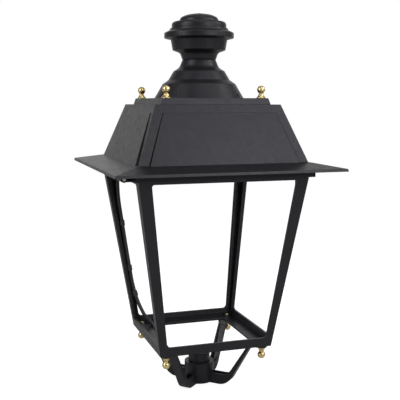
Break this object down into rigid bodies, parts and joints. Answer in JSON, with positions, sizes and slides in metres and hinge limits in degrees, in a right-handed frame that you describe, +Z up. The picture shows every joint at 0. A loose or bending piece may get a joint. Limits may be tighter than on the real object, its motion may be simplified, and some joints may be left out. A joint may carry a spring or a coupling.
{
  "type": "led street light head",
  "caption": "Square tapered post-top lantern head with a hinged hood, raised roof panels, turned chimney, brass finials, four-arm socket bracket and a flat light unit under the hood.",
  "frame": {"origin": "centre of the mouth of the threaded hub that screws on the pole", "axes": "+Z up the pole axis, -Y towards the front of the lantern, -X towards the hinged side of the hood"},
  "size_m": [0.4468, 0.4468, 0.766],
  "materials": {
    "black_casting": "fine textured satin powder coat on cast aluminium",
    "polished_brass": "polished and lacquered",
    "stainless_steel": "plain turned stainless steel",
    "bare_aluminium": "bare rolled sheet",
    "seal_rubber": "matt silicone rubber",
    "cable_sheath": "matt black rubber sheath",
    "black_plastic": "moulded nylon",
    "circuit_board": "white solder mask",
    "lens_plastic": "clear moulded acrylic",
    "clear_glass": "flat toughened glass",
    "gear_housing": "light grey moulded housing"
  },
  "bodies": {
    "lantern": {"spider_bracket": "black_casting", "hub_cap": "black_casting", "body_frame": "black_casting", "top_frame": "black_casting", "glass_frame": "black_casting", "corner_knob_front_left": "polished_brass", "corner_knob_front_right": "polished_brass", "corner_knob_rear_left": "polished_brass", "corner_knob_rear_right": "polished_brass", "hub_lock_screw": "stainless_steel", "hinge_pin_front": "stainless_steel", "hinge_pin_rear": "stainless_steel", "latch_screw": "stainless_steel", "knob_nut_front_left": "stainless_steel", "knob_nut_front_right": "stainless_steel", "knob_nut_rear_left": "stainless_steel", "knob_nut_rear_right": "stainless_steel", "post_screw_front_left": "stainless_steel", "post_screw_front_right": "stainless_steel", "post_screw_rear_left": "stainless_steel", "post_screw_rear_right": "stainless_steel", "gear_tray": "bare_aluminium", "heat_sink": "bare_aluminium", "hood_gasket": "seal_rubber", "optic_gasket": "seal_rubber", "hub_grommet": "seal_rubber", "supply_cable": "cable_sheath", "cable_gland": "black_plastic", "cable_clip_upper": "black_plastic", "cable_clip_middle": "black_plastic", "cable_clip_lower": "black_plastic", "led_board": "circuit_board", "led_lens_plate": "lens_plastic", "cover_glass": "clear_glass", "driver": "gear_housing", "surge_protector": "gear_housing", "terminal_block": "gear_housing"},
    "hood": {"hood_casting": "black_casting", "crown_plate": "black_casting", "chimney_base": "black_casting", "chimney_hat": "black_casting", "chimney_tie_rod": "stainless_steel", "tie_nut": "stainless_steel", "roof_finial_front_left": "polished_brass", "roof_finial_front_right": "polished_brass", "roof_finial_rear_left": "polished_brass", "roof_finial_rear_right": "polished_brass", "bell_screw_front_left": "black_casting", "bell_screw_front_right": "black_casting", "bell_screw_rear_left": "black_casting", "bell_screw_rear_right": "black_casting"}
  },
  "joints": [
    {"name": "hood_hinge", "type": "hinge", "parent": "lantern", "child": "hood", "pos_m": [-0.197, 0, 0.453], "axis": [0, -1, 0], "range_deg": [0, 95]}
  ]
}
